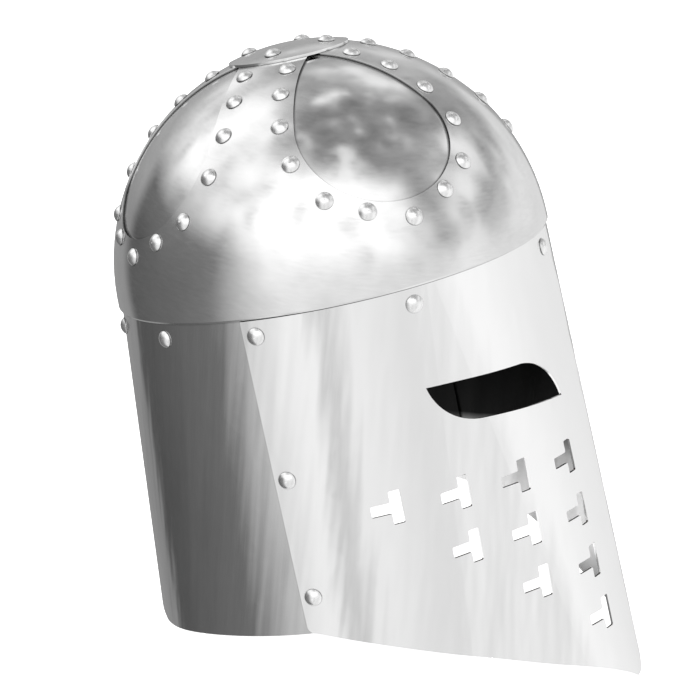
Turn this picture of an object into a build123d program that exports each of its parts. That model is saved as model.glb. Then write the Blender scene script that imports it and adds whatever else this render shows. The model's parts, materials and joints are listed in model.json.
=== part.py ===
from build123d import *
import os
from math import acos, asin, atan, atan2, cos, degrees, hypot, radians, sin, sqrt

os.makedirs("parts", exist_ok=True)

# ---- driving dimensions, mm ------------------------------------------------------------
# The helmet stands on its rim: the tip of the face plate at the front, the rear plate's
# edge behind. The skull's own axis then leans back by LEAN.
LEAN = 18.2
SKULL_Y = 36.4
SKULL_Z = 180.0

SHEET = 1.2            # steel thickness
FIT = 0.05             # gap between sheets that lie on each other

DOME_R = 106.0         # skull, a spun hemisphere, outside radius
DOME_Z = -1.0          # its centre against the seam
MARGIN_R = 102.9       # skull margin hidden behind the lower plates
MARGIN_Z = -14.5
SEAM_GAP = 0.3

FACE_R = 105.9         # face plate, outside radius along the seam
FACE_Y = 1.25          # its centre, so its sides pass outside the rear plate
REAR_R = 104.35        # rear plate, outside radius along the seam
FOOT = 230.0           # depth at which the lower plan is given
NOSE_R = 42.0          # lower plan: nose radius and centre
NOSE_Y = -71.7
BACK_R = 108.2         # lower plan: radius round the back and centre
BACK_Y = 22.3
LAP = 1.55             # how far the rear plate lies inside the face plate at the foot

FACE_EDGE_Y = 7.5      # rear edge of the face plate
REAR_EDGE_Y = -12.0    # front ends of the rear plate, behind the face plate

WINDOWS = (45.5, 130.5)     # azimuth of the openings from the front, each side
WINDOW_TILT = 50.0          # height angle of the plane they are drawn on
WINDOW_R = 35.7             # round lower end
WINDOW_LOW = -15.5
WINDOW_TIP = 46.5
PLATE_MARGIN = 14.0         # infill plate beyond the opening
CROWN_R = 29.0

# rivets round one opening: azimuth from its middle, height above the seam
WINDOW_RIVETS = (
    (26.2, 98.0), (30.6, 89.5), (31.5, 77.4), (29.1, 62.0), (21.6, 44.8), (11.4, 36.4), (0.0, 29.4),
)
CROWN_RIVET_R = 20.0
BROW_Z = -8.0
BROW_RIVETS = (0.0, 50.0, -50.0)
NAPE_RIVETS = (120.0, 149.0, 180.0, -149.0, -120.0)
SIDE_RIVETS = ((86.4, -76.0), (83.6, -133.0))
HEAD_R = 4.0
HEAD_H = 2.5
SHANK_R = 2.0

SLOT_AZIMUTH = 32.0
BREATH_BAR = 16.0           # height of the upright
BREATH_LEN = 14.6           # upright and stem together
BREATH_W = 5.3
BREATH_PITCH = 27.0
# columns of breaths: count, azimuth of the surface there, x, y, height of the first
BREATHS = (
    (1, 62.9, -94.4, -38.0, -97.9),
    (2, 46.0, -75.0, -64.5, -100.4),
    (3, 42.0, -52.8, -86.6, -102.6),
    (4, 23.0, -26.4, -103.2, -104.4),
)

BAND_R = 101.6
BAND_IN = 99.2
BAND_LOW = -22.0
BAND_TOP = 16.0
LOBES = 8
LOBE_ARC = 41.0
LOBE_R = 98.9
LOBE_T = 2.0
LOBE_LOW = 4.0
LOBE_BEND = 14.0
LOBE_RISE = 72.0
LACE_RING = 24.0
LACE_R = 1.5
PAD_IN = 89.2
PAD_OUT = 95.7

STRAP_W = 20.0
STRAP_T = 2.4
STRAP_X = 96.6              # outer face of the straps at the temple rivets
STRAP_DROP = 12.0           # straight part below the rivet
STRAP_CANT = 11.0           # then it leans in towards the chin
STRAP_LONG = 146.0
STRAP_SHORT = 100.0
BAR_R = 1.6                 # buckle wire
PIN_GAP = 0.05
BUCKLE_L = 20.0
BUCKLE_W = 28.0
BEND_R = 2.6


# ---- the helmet's own axes ---------------------------------------------------------------
HELM = Plane(
    origin=(0, SKULL_Y, SKULL_Z),
    x_dir=(1, 0, 0),
    z_dir=(0, sin(radians(LEAN)), cos(radians(LEAN))),
)
AXIS = Axis(HELM.origin, HELM.z_dir)
SECTION = Plane(origin=HELM.origin, x_dir=HELM.x_dir, z_dir=-HELM.y_dir)
SIDE = Plane(origin=HELM.origin, x_dir=HELM.y_dir, z_dir=HELM.x_dir)


def at(x, y, z):
    return HELM.origin + HELM.x_dir * x + HELM.y_dir * y + HELM.z_dir * z


def along(x, y, z):
    return HELM.x_dir * x + HELM.y_dir * y + HELM.z_dir * z


def facing(azimuth, tilt=0.0, point=(0, 0, 0)):
    # plane looking out at an azimuth (0 front, 90 the wearer's right), x to the right, y up
    a = radians(azimuth)
    e = radians(tilt)
    out = along(-sin(a) * cos(e), -cos(a) * cos(e), sin(e))
    right = along(cos(a), -sin(a), 0)
    return Plane(origin=at(*point), x_dir=right, z_dir=out)


def dome_seat(azimuth, z, grow=0.0):
    # plane on the skull's outer surface
    ball = DOME_R + grow
    tilt = asin((z - DOME_Z) / ball)
    r = ball * cos(tilt)
    w = radians(azimuth)
    return facing(azimuth, degrees(tilt), (-r * sin(w), -r * cos(w), z))


def skirt_seat(azimuth, z, top_r, top_y, inset=0.0):
    # plane on the outer surface of the face or rear plate
    front = abs(azimuth) <= 45
    low_r = (NOSE_R if front else BACK_R) - inset
    low_y = NOSE_Y if front else BACK_Y
    t = -z / FOOT
    r = top_r + (low_r - top_r) * t
    y = top_y + (low_y - top_y) * t
    w = radians(azimuth)
    slope = (low_r - top_r - (low_y - top_y) * cos(w)) / FOOT
    return facing(azimuth, degrees(atan(slope)), (-r * sin(w), y - r * cos(w), z))


def reach(plane):
    # distance of a point from the helmet's axis
    v = plane.origin - HELM.origin
    return hypot(v.dot(HELM.x_dir), v.dot(HELM.y_dir))


def deeper(plane, depth):
    return plane.offset(-depth)


def plan(nose_r, nose_y, back_r, back_y, split):
    # outline round the helmet: nose arc, two straight sides, arc round the back
    n = radians(split[0])
    b = radians(split[1])
    nose_1 = (-nose_r * sin(n), nose_y - nose_r * cos(n))
    nose_2 = (-nose_1[0], nose_1[1])
    back_1 = (-back_r * sin(b), back_y - back_r * cos(b))
    back_2 = (-back_1[0], back_1[1])
    with BuildLine() as outline:
        ThreePointArc(nose_1, (0, nose_y - nose_r), nose_2)
        Line(nose_2, back_2)
        ThreePointArc(back_2, (0, back_y + back_r), back_1)
        Line(back_1, nose_1)
    make_face(outline.edges())


SPLIT = 90 - degrees(asin((BACK_R - NOSE_R) / (BACK_Y - NOSE_Y)))


def shell(top_r, top_y, inset):
    # sheet between the seam and the foot, as an outer and an inner ruled solid
    for depth, mode in ((0.0, Mode.ADD), (SHEET, Mode.SUBTRACT)):
        cut = inset + depth
        with BuildSketch(HELM) as upper:
            plan(top_r - depth, top_y, top_r - depth, top_y, (SPLIT - 1, SPLIT + 1))
        with BuildSketch(HELM.offset(-FOOT)) as lower:
            plan(NOSE_R - cut, NOSE_Y, BACK_R - cut, BACK_Y, (SPLIT, SPLIT))
        loft([upper.sketch.face(), lower.sketch.face()], ruled=True, mode=mode)


def cap_profile(ball, thick):
    # section of a domed shell, quarter circle outside and inside
    with BuildLine() as outline:
        outer = CenterArc((0, DOME_Z), ball, 0, 90)
        inner = CenterArc((0, DOME_Z), ball - thick, 0, 90)
        Line(outer @ 1, inner @ 1)
        Line(inner @ 0, outer @ 0)
    make_face(outline.edges())


def window_outline(grow=0.0):
    # round below, narrowing in two long arcs to a tip under the crown disc
    r = WINDOW_R
    a = radians(22.0)
    side = (r * cos(a), WINDOW_LOW + r * sin(a))
    with BuildLine() as outline:
        ThreePointArc((-side[0], side[1]), (0, WINDOW_LOW - r), side)
        TangentArc(side, (0, WINDOW_TIP), tangent=(-sin(a), cos(a)))
        TangentArc((-side[0], side[1]), (0, WINDOW_TIP), tangent=(sin(a), cos(a)))
    make_face(outline.edges())
    if grow:
        offset(amount=grow)


def window_seats(azimuth):
    seats = []
    for swing, z in WINDOW_RIVETS:
        seats.append(dome_seat(azimuth + swing, z))
        if swing:
            seats.append(dome_seat(azimuth - swing, z))
    return seats


def rivet(grip):
    # domed head outside, shank, flat burr inside; z = 0 on the outer surface
    tail = -grip - 0.1
    with BuildPart() as one:
        with BuildSketch(Plane.XZ):
            with BuildLine():
                rim = 0.45
                dome = (HEAD_R**2 + (HEAD_H - rim) ** 2) / (2 * (HEAD_H - rim))
                span = degrees(asin(HEAD_R / dome))
                head = CenterArc((0, HEAD_H - dome), dome, 90 - span, span)
                Polyline(
                    head @ 0, (HEAD_R, FIT), (SHANK_R, FIT), (SHANK_R, tail), (3.1, tail),
                    (2.5, tail - 1.0), (0, tail - 1.2), head @ 1,
                )
            make_face()
        revolve(axis=Axis.Z)
    return one.part


def holes(seats, depth=14.0):
    with Locations(*seats):
        Cylinder(SHANK_R + FIT, 2 * depth, mode=Mode.SUBTRACT)


def discs(seats, radius, thick):
    for seat in seats:
        with BuildSketch(seat) as ring:
            Circle(radius)
            Circle(SHANK_R + FIT, mode=Mode.SUBTRACT)
        extrude(ring.sketch, amount=-thick)


# rivet seats on the lower plates
TEMPLE_R = 106.0
brow_seats = [skirt_seat(a, BROW_Z, FACE_R, FACE_Y) for a in BROW_RIVETS]
nape_seats = [skirt_seat(a, BROW_Z, REAR_R, 0, LAP) for a in NAPE_RIVETS]
temple_seats = [
    facing(a, 0, (-s * TEMPLE_R, FACE_Y, BROW_Z)) for a, s in ((90.0, 1), (-90.0, -1))
]
side_seats = [
    skirt_seat(side * azimuth, z, FACE_R, FACE_Y) for side in (1, -1) for azimuth, z in SIDE_RIVETS
]
window_seat_list = []
for azimuth in WINDOWS:
    window_seat_list += window_seats(azimuth) + window_seats(-azimuth)
crown_z = DOME_Z + sqrt((DOME_R + SHEET + FIT) ** 2 - CROWN_RIVET_R**2)
crown_seats = [dome_seat(a, crown_z, SHEET + FIT) for a in (0.0, 90.0, 180.0, 270.0)]


# ---- skull ---------------------------------------------------------------------------------
with BuildPart() as skull_frame:
    with BuildSketch(SECTION):
        with BuildLine():
            low = 0.8
            outer = CenterArc((0, DOME_Z), DOME_R, low, 90 - low)
            rise = degrees(asin((3.5 - DOME_Z) / (DOME_R - SHEET)))
            inner = CenterArc((0, DOME_Z), DOME_R - SHEET, rise, 90 - rise)
            Line(outer @ 1, inner @ 1)
            Polyline(
                inner @ 0,
                (MARGIN_R - SHEET, 0.6),
                (MARGIN_R - SHEET, MARGIN_Z),
                (MARGIN_R, MARGIN_Z),
                (MARGIN_R, -0.4),
                (105.5, -0.4),
                outer @ 0,
            )
        make_face()
    revolve(axis=AXIS)
    for azimuth in WINDOWS:
        for side in (1, -1):
            with BuildSketch(facing(side * azimuth, WINDOW_TILT, (0, 0, DOME_Z))):
                window_outline()
            extrude(amount=140, mode=Mode.SUBTRACT)
    holes(window_seat_list)
    holes(crown_seats)
    holes(brow_seats + nape_seats + temple_seats)
skull_frame.part.label = "skull_frame"
export_step(skull_frame.part, "parts/skull_frame.step")

# domed plates behind the four openings
for end, azimuth, near, far in (("front", WINDOWS[0], 0.5, 87.6), ("rear", WINDOWS[1], 88.4, 179.5)):
    for hand, side in (("right", 1), ("left", -1)):
        with BuildPart() as infill_plate:
            with BuildSketch(SECTION):
                cap_profile(DOME_R - SHEET - FIT, SHEET)
            revolve(axis=AXIS)
            with BuildSketch(facing(side * azimuth, WINDOW_TILT, (0, 0, DOME_Z))):
                window_outline(PLATE_MARGIN)
            extrude(amount=140, mode=Mode.INTERSECT)
            with BuildSketch(HELM):
                reach_out = 190
                ends = []
                for a in (near, (near + far) / 2, far):
                    w = radians(side * a)
                    ends.append((-reach_out * sin(w), -reach_out * cos(w)))
                Polygon((0, 0), *ends, align=None)
                Circle(24.5, mode=Mode.SUBTRACT)
            extrude(amount=140, mode=Mode.INTERSECT)
            holes(window_seats(side * azimuth))
        infill_plate.part.label = "infill_plate_" + end + "_" + hand
        export_step(infill_plate.part, "parts/infill_plate_" + end + "_" + hand + ".step")

with BuildPart() as crown_disc:
    with BuildSketch(SECTION):
        cap_profile(DOME_R + SHEET + FIT, SHEET)
    revolve(axis=AXIS)
    with BuildSketch(HELM):
        Circle(CROWN_R)
    extrude(amount=140, mode=Mode.INTERSECT)
    holes(crown_seats)
crown_disc.part.label = "crown_disc"
export_step(crown_disc.part, "parts/crown_disc.step")

# ---- face plate ------------------------------------------------------------------------------
with BuildPart() as face_plate:
    shell(FACE_R, FACE_Y, 0.0)
    top = -0.4 - SEAM_GAP
    with BuildSketch(SIDE):
        with BuildLine():
            Line((FACE_EDGE_Y, -147.0), (FACE_EDGE_Y, top))
            Line((FACE_EDGE_Y, top), (-125, top))
            Line((-125, top), (-125, -238.0))
            Line((-125, -238.0), (-113.7, -229.6))
            Spline(
                (-113.7, -229.6), (-109.0, -216.6), (-103.3, -210.6), (-90.5, -201.9),
                (-71.5, -189.0), (-46.5, -172.7), (-18.9, -159.2), (3.6, -150.9),
            )
            ThreePointArc((3.6, -150.9), (6.4, -149.6), (FACE_EDGE_Y, -147.0))
        make_face()
    extrude(amount=150, both=True, mode=Mode.INTERSECT)
    with BuildSketch(Plane.XY):
        Rectangle(400, 600)
    extrude(amount=500, mode=Mode.INTERSECT)
    split(bisect_by=Plane.YZ, keep=Keep.BOTTOM)
    # eye slot: two long straight edges, closed by an arc at each end
    with BuildSketch(facing(SLOT_AZIMUTH)):
        with BuildLine():
            Line((-35.1, -47.3), (16.1, -51.8))
            ThreePointArc((16.1, -51.8), (30.9, -58.9), (41.1, -75.7))
            Line((41.1, -75.7), (-9.3, -69.5))
            ThreePointArc((-9.3, -69.5), (-24.3, -63.6), (-35.1, -47.3))
        make_face()
    extrude(amount=160, mode=Mode.SUBTRACT)
    mirror(about=Plane.YZ)
    # T-shaped breaths through the right side only, lying with the upright forward
    for count, azimuth, x, y, first in BREATHS:
        for row in range(count):
            centre = (x + 1.4 * row, y, first - BREATH_PITCH * row)
            with BuildSketch(facing(azimuth, 0, centre)):
                with Locations(((BREATH_LEN - BREATH_W) / 2, 0)):
                    Rectangle(BREATH_W, BREATH_BAR)
                Rectangle(BREATH_LEN, BREATH_W)
                fillet(vertices(), 0.7)
            extrude(amount=12, both=True, mode=Mode.SUBTRACT)
    holes(brow_seats + temple_seats + side_seats, 8)
face_plate.part.label = "face_plate"
export_step(face_plate.part, "parts/face_plate.step")

# ---- rear plate --------------------------------------------------------------------------------
with BuildPart() as rear_plate:
    shell(REAR_R, 0.0, LAP)
    with BuildSketch(SIDE):
        with BuildLine():
            Line((REAR_EDGE_Y, -151.0), (REAR_EDGE_Y, top))
            Line((REAR_EDGE_Y, top), (150, top))
            Line((150, top), (150, -156.0))
            Line((150, -156.0), (101.0, -156.6))
            Spline(
                (101.0, -156.6), (92.0, -156.0), (77.6, -154.2), (52.7, -152.0), (22.0, -151.2),
                (REAR_EDGE_Y, -151.0),
            )
        make_face()
    extrude(amount=150, both=True, mode=Mode.INTERSECT)
    with BuildSketch(Plane.XY):
        Rectangle(400, 600)
    extrude(amount=500, mode=Mode.INTERSECT)
    holes(nape_seats + temple_seats + side_seats, 8)
rear_plate.part.label = "rear_plate"
export_step(rear_plate.part, "parts/rear_plate.step")

# ---- rivets --------------------------------------------------------------------------------------
plate_rivet = rivet(2 * SHEET + FIT)
with BuildPart() as window_rivets:
    with Locations(*window_seat_list):
        add(plate_rivet)
window_rivets.part.label = "window_rivets"
export_step(window_rivets.part, "parts/window_rivets.step")

with BuildPart() as crown_rivets:
    with Locations(*crown_seats):
        add(plate_rivet)
crown_rivets.part.label = "crown_rivets"
export_step(crown_rivets.part, "parts/crown_rivets.step")

WASHER_AT = BAND_IN - 0.8
WASHER_T = 1.0
brow_list = [rivet(reach(seat) - WASHER_AT + WASHER_T) for seat in brow_seats]
with BuildPart() as brow_rivets:
    for seat, long_rivet in zip(brow_seats, brow_list):
        with Locations(seat):
            add(long_rivet)
brow_rivets.part.label = "brow_rivets"
export_step(brow_rivets.part, "parts/brow_rivets.step")

nape_list = [rivet(reach(seat) - WASHER_AT + WASHER_T) for seat in nape_seats]
with BuildPart() as nape_rivets:
    for seat, long_rivet in zip(nape_seats, nape_list):
        with Locations(seat):
            add(long_rivet)
nape_rivets.part.label = "nape_rivets"
export_step(nape_rivets.part, "parts/nape_rivets.step")

SPACER_T = 2.0
TEMPLE_WASHER_AT = STRAP_X - STRAP_T - 0.25
temple_rivet = rivet(TEMPLE_R - TEMPLE_WASHER_AT + WASHER_T)
with BuildPart() as temple_rivets:
    with Locations(*temple_seats):
        add(temple_rivet)
temple_rivets.part.label = "temple_rivets"
export_step(temple_rivets.part, "parts/temple_rivets.step")

side_rivet = rivet(2 * SHEET + 0.6)
with BuildPart() as side_rivets:
    with Locations(*side_seats):
        add(side_rivet)
side_rivets.part.label = "side_rivets"
export_step(side_rivets.part, "parts/side_rivets.step")

# ---- liner -----------------------------------------------------------------------------------------
with BuildPart() as liner_band:
    with BuildSketch(SECTION):
        with Locations(((BAND_R + BAND_IN) / 2, (BAND_LOW + BAND_TOP) / 2)):
            RectangleRounded(BAND_R - BAND_IN, BAND_TOP - BAND_LOW, 0.8)
    revolve(axis=AXIS)
    holes(brow_seats + nape_seats + temple_seats)
liner_band.part.label = "liner_band"
export_step(liner_band.part, "parts/liner_band.step")

with BuildPart() as liner_washers:
    washer_seats = [deeper(s, reach(s) - WASHER_AT) for s in brow_seats + nape_seats]
    discs(washer_seats, 6.0, WASHER_T)
liner_washers.part.label = "liner_washers"
export_step(liner_washers.part, "parts/liner_washers.step")

with BuildPart() as strap_spacers:
    discs([deeper(s, TEMPLE_R - BAND_IN + 0.4) for s in temple_seats], 7.0, SPACER_T)
strap_spacers.part.label = "strap_spacers"
export_step(strap_spacers.part, "parts/strap_spacers.step")

with BuildPart() as temple_washers:
    discs([deeper(s, TEMPLE_R - TEMPLE_WASHER_AT) for s in temple_seats], 6.0, WASHER_T)
temple_washers.part.label = "temple_washers"
export_step(temple_washers.part, "parts/temple_washers.step")

# lobes: gores rising from the band, each ending in a hem round the crown lace
lace_z = LOBE_BEND + (LOBE_RISE - LOBE_T / 2) * sqrt(1 - (LACE_RING / (LOBE_R - LOBE_T / 2)) ** 2)
for number in range(LOBES):
    middle = 22.5 + number * 360 / LOBES
    w = radians(middle - LOBE_ARC / 2)
    begin = Plane(origin=HELM.origin, x_dir=along(cos(w), sin(w), 0), z_dir=along(sin(w), -cos(w), 0))
    with BuildPart() as liner_lobe:
        with BuildSketch(begin):
            with BuildLine():
                outer_end = degrees(acos(LACE_RING / LOBE_R))
                inner_end = degrees(acos(LACE_RING / (LOBE_R - LOBE_T)))
                thin = LOBE_R - LOBE_T
                outer = EllipticalCenterArc(
                    (0, LOBE_BEND), LOBE_R, LOBE_RISE, 0, arc_size=outer_end
                )
                inner = EllipticalCenterArc(
                    (0, LOBE_BEND), thin, LOBE_RISE - LOBE_T, 0, arc_size=inner_end
                )
                Line(outer @ 1, inner @ 1)
                Polyline(outer @ 0, (LOBE_R, LOBE_LOW), (thin, LOBE_LOW), inner @ 0)
            make_face()
            with Locations((LACE_RING, lace_z)):
                Circle(LACE_R + 2.0)
                Circle(LACE_R + 0.3, mode=Mode.SUBTRACT)
        revolve(axis=AXIS, revolution_arc=LOBE_ARC)
    liner_lobe.part.label = "liner_lobe_" + str(number + 1)
    export_step(liner_lobe.part, "parts/liner_lobe_" + str(number + 1) + ".step")

with BuildPart() as crown_lace:
    with BuildSketch(SECTION):
        with Locations((LACE_RING, lace_z)):
            Circle(LACE_R)
    revolve(axis=AXIS)
crown_lace.part.label = "crown_lace"
export_step(crown_lace.part, "parts/crown_lace.step")

with BuildPart() as crown_pad:
    with BuildSketch(HELM.offset(lace_z + LACE_R + 2.3)):
        Circle(33)
    extrude(amount=6)
    fillet(edges(), 2.5)
crown_pad.part.label = "crown_pad"
export_step(crown_pad.part, "parts/crown_pad.step")

for label, middle, spread in (("brow_pad", 270.0, 116.0), ("nape_pad", 90.0, 100.0)):
    w = radians(middle - spread / 2)
    begin = Plane(origin=HELM.origin, x_dir=along(cos(w), sin(w), 0), z_dir=along(sin(w), -cos(w), 0))
    with BuildPart() as pad:
        with BuildSketch(begin):
            with Locations(((PAD_IN + PAD_OUT) / 2, -5)):
                RectangleRounded(PAD_OUT - PAD_IN, 34, 3.2)
        revolve(axis=AXIS, revolution_arc=spread)
    pad.part.label = label
    export_step(pad.part, "parts/" + label + ".step")

# ---- chin strap ----------------------------------------------------------------------------------------
temple = at(0, FACE_Y, BROW_Z)
cant = radians(STRAP_CANT)


def strap_path(side, length):
    # points of a strap's mid line in the upright plane through the temple rivets
    x = side * (STRAP_X - STRAP_T / 2)
    run = length - STRAP_DROP
    return (
        (x, 14.0),
        (x, -STRAP_DROP),
        (x - side * run * sin(cant), -STRAP_DROP - run * cos(cant)),
    )


UPRIGHT = Plane(origin=(0, temple.Y, temple.Z), x_dir=(1, 0, 0), z_dir=(0, -1, 0))
ACROSS = Plane(origin=(0, temple.Y, temple.Z), x_dir=(0, 1, 0), z_dir=(1, 0, 0))

with BuildPart() as strap_right:
    with BuildSketch(UPRIGHT):
        with BuildLine():
            FilletPolyline(*strap_path(-1, STRAP_LONG + 8), radius=30)
        trace(line_width=STRAP_T)
    extrude(amount=STRAP_W, both=True)
    half = STRAP_W / 2
    with BuildSketch(ACROSS):
        with BuildLine():
            ThreePointArc((half, 0), (0, half), (-half, 0))
            Line((-half, 0), (-half, -STRAP_LONG + 16))
            ThreePointArc((-half, -STRAP_LONG + 16), (-6.2, -STRAP_LONG + 5.5), (0, -STRAP_LONG))
            ThreePointArc((0, -STRAP_LONG), (6.2, -STRAP_LONG + 5.5), (half, -STRAP_LONG + 16))
            Line((half, -STRAP_LONG + 16), (half, 0))
        make_face()
        Circle(SHANK_R + PIN_GAP, mode=Mode.SUBTRACT)
        with Locations(*[(0, -STRAP_LONG + 30 + 17 * n) for n in range(5)]):
            Circle(1.9, mode=Mode.SUBTRACT)
    extrude(amount=-150, mode=Mode.INTERSECT)
strap_right.part.label = "strap_right"
export_step(strap_right.part, "parts/strap_right.step")

# heel bar of the buckle, at the end of the short strap; x runs down the strap, z outwards
run = STRAP_SHORT - STRAP_DROP
turn = 2.85
mid_x = STRAP_X - STRAP_T / 2 - run * sin(cant)
mid_z = -STRAP_DROP - run * cos(cant)
heel = (mid_x + turn * cos(cant), temple.Y, temple.Z + mid_z - turn * sin(cant))
BUCKLE = Plane(origin=heel, x_dir=(-sin(cant), 0, -cos(cant)), z_dir=(cos(cant), 0, -sin(cant)))
EDGE_ON = Plane(origin=heel, x_dir=BUCKLE.x_dir, z_dir=(0, -1, 0))
# the buckle itself hangs straight down from its heel bar
HANG = Plane(origin=heel, x_dir=(0, 0, -1), z_dir=(1, 0, 0))
HANG_EDGE_ON = Plane(origin=heel, x_dir=(0, 0, -1), z_dir=(0, -1, 0))

with BuildPart() as strap_left:
    with BuildSketch(UPRIGHT):
        with BuildLine():
            FilletPolyline(*strap_path(1, STRAP_SHORT), radius=30)
        trace(line_width=STRAP_T)
    extrude(amount=half, both=True)
    with BuildSketch(EDGE_ON):
        Circle(turn + STRAP_T / 2)
        Circle(BAR_R + PIN_GAP, mode=Mode.SUBTRACT)
        with BuildLine():
            Polyline(
                (-32, -1.65), (-6, -1.65), (-1.9, 1.3), (0, 1.9), (0, 4.05), (-1.4, 3.9),
                (-14, 0.75), (-31, 0.75), (-32, 0.0), close=True,
            )
        make_face()
    extrude(amount=half, both=True)
    with BuildSketch(ACROSS):
        with Locations((0, -60)):
            Rectangle(STRAP_W, 120)
        Circle(half)
        Circle(SHANK_R + PIN_GAP, mode=Mode.SUBTRACT)
    extrude(amount=150, mode=Mode.INTERSECT)
    with BuildSketch(BUCKLE):
        with Locations((4.3, 0)):
            Rectangle(16, 5.0)
        with Locations((-22, 0)):
            Circle(1.5 + FIT, mode=Mode.ADD)
    extrude(amount=9, both=True, mode=Mode.SUBTRACT)
strap_left.part.label = "strap_left"
export_step(strap_left.part, "parts/strap_left.step")

with BuildPart() as strap_rivet:
    with BuildSketch(EDGE_ON):
        with BuildLine():
            Polyline((-22, -5.0), (-22, 1.75))
            ThreePointArc((-22, 1.75), (-20.2, 1.45), (-19, 0.8))
            Polyline((-19, 0.8), (-20.5, 0.8), (-20.5, -4.1), (-19.3, -4.1), (-19.3, -4.8), (-22, -5.0))
        make_face()
    revolve(axis=Axis(BUCKLE.origin + BUCKLE.x_dir * -22, BUCKLE.z_dir))
strap_rivet.part.label = "strap_rivet"
export_step(strap_rivet.part, "parts/strap_rivet.step")

with BuildPart() as buckle_frame:
    w = BUCKLE_W / 2
    k = BEND_R * (1 - cos(radians(45)))
    with BuildLine(HANG) as wire:
        Line((0, 0), (0, w - BEND_R))
        ThreePointArc((0, w - BEND_R), (k, w - k), (BEND_R, w))
        Line((BEND_R, w), (BUCKLE_L - BEND_R, w))
        ThreePointArc((BUCKLE_L - BEND_R, w), (BUCKLE_L - k, w - k), (BUCKLE_L, w - BEND_R))
        Line((BUCKLE_L, w - BEND_R), (BUCKLE_L, BEND_R - w))
        ThreePointArc((BUCKLE_L, BEND_R - w), (BUCKLE_L - k, k - w), (BUCKLE_L - BEND_R, -w))
        Line((BUCKLE_L - BEND_R, -w), (BEND_R, -w))
        ThreePointArc((BEND_R, -w), (k, k - w), (0, BEND_R - w))
        Line((0, BEND_R - w), (0, 0))
    with BuildSketch(Plane(origin=heel, x_dir=HANG.x_dir, z_dir=HANG.y_dir)):
        Circle(BAR_R)
    sweep(path=wire.line)
buckle_frame.part.label = "buckle_frame"
export_step(buckle_frame.part, "parts/buckle_frame.step")

with BuildPart() as buckle_prong:
    with BuildSketch(HANG_EDGE_ON):
        Circle(3.1)
        with BuildLine():
            Polyline((0, 0.9), (0, 3.1), (17, 4.0), (24, 3.4), (24, 2.2), (22, BAR_R + PIN_GAP),
                     (17, BAR_R + PIN_GAP), close=True)
        make_face()
        Circle(BAR_R + PIN_GAP, mode=Mode.SUBTRACT)
    extrude(amount=1.9, both=True)
buckle_prong.part.label = "buckle_prong"
export_step(buckle_prong.part, "parts/buckle_prong.step")

with BuildPart() as strap_keeper:
    low = -turn - STRAP_T / 2 - 0.3
    high = -turn + 1.5 * STRAP_T + 0.7
    with BuildSketch(Plane(origin=BUCKLE.origin + BUCKLE.x_dir * -60, x_dir=BUCKLE.y_dir,
                           z_dir=-BUCKLE.x_dir)):
        with Locations((0, -(low + high) / 2)):
            RectangleRounded(STRAP_W + 4.2, high - low + 3.6, 2.4)
            RectangleRounded(STRAP_W + 0.6, high - low, 0.8, mode=Mode.SUBTRACT)
    extrude(amount=8)
strap_keeper.part.label = "strap_keeper"
export_step(strap_keeper.part, "parts/strap_keeper.step")
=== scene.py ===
import json
from math import acos, cos, pi, radians, sin, sqrt, tau

import bmesh
import bpy
from mathutils import Matrix, Vector
from mathutils.noise import noise


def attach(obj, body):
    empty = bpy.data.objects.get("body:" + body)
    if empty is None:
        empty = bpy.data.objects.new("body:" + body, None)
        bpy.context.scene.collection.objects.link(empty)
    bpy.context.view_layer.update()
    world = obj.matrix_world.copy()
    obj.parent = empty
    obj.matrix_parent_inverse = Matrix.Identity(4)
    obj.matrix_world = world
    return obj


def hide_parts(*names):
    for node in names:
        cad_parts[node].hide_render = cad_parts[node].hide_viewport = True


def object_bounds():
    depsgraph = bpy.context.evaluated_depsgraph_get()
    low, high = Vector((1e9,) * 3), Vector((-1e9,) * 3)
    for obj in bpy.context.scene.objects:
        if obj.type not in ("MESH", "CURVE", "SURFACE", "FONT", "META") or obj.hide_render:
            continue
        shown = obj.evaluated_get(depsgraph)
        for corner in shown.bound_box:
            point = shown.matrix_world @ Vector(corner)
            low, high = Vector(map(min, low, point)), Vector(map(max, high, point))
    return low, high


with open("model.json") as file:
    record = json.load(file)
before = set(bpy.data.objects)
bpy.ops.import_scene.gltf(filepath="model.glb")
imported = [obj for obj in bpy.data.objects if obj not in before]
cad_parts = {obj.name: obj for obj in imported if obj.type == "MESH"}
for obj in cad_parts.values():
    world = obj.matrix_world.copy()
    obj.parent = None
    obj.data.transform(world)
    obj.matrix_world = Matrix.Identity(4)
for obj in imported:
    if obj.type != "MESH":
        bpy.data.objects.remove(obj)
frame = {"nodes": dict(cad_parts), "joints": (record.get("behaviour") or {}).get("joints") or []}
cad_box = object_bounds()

scene = bpy.context.scene
joints = {j["name"]: j for j in frame["joints"]}

# ---- the helmet's own axes, from the temple joint ---------------------------
LEAN = radians(18.2)
SIDE = Vector((1, 0, 0))
BACK = Vector((0, cos(LEAN), -sin(LEAN)))
UP = Vector((0, sin(LEAN), cos(LEAN)))
temple_l = Vector(joints["strap_left_swing"]["pos_m"])
temple_r = Vector(joints["strap_right_swing"]["pos_m"])
HEART = Vector((0, temple_l.y, temple_l.z)) - BACK * 0.00125 + UP * 0.008
MM = 0.001


def at(x, y, z):
    """Helmet coordinates in millimetres to the row frame in metres."""
    return HEART + (SIDE * x + BACK * y + UP * z) * MM


def round_axis(r, angle, z):
    return at(r * cos(angle), r * sin(angle), z)


# ---- camera ---------------------------
CAMERA_AWAY = 1.07424          # metres from the helmet's heart


def helm_vector(x, y, z):
    return SIDE * x + BACK * y + UP * z


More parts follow.
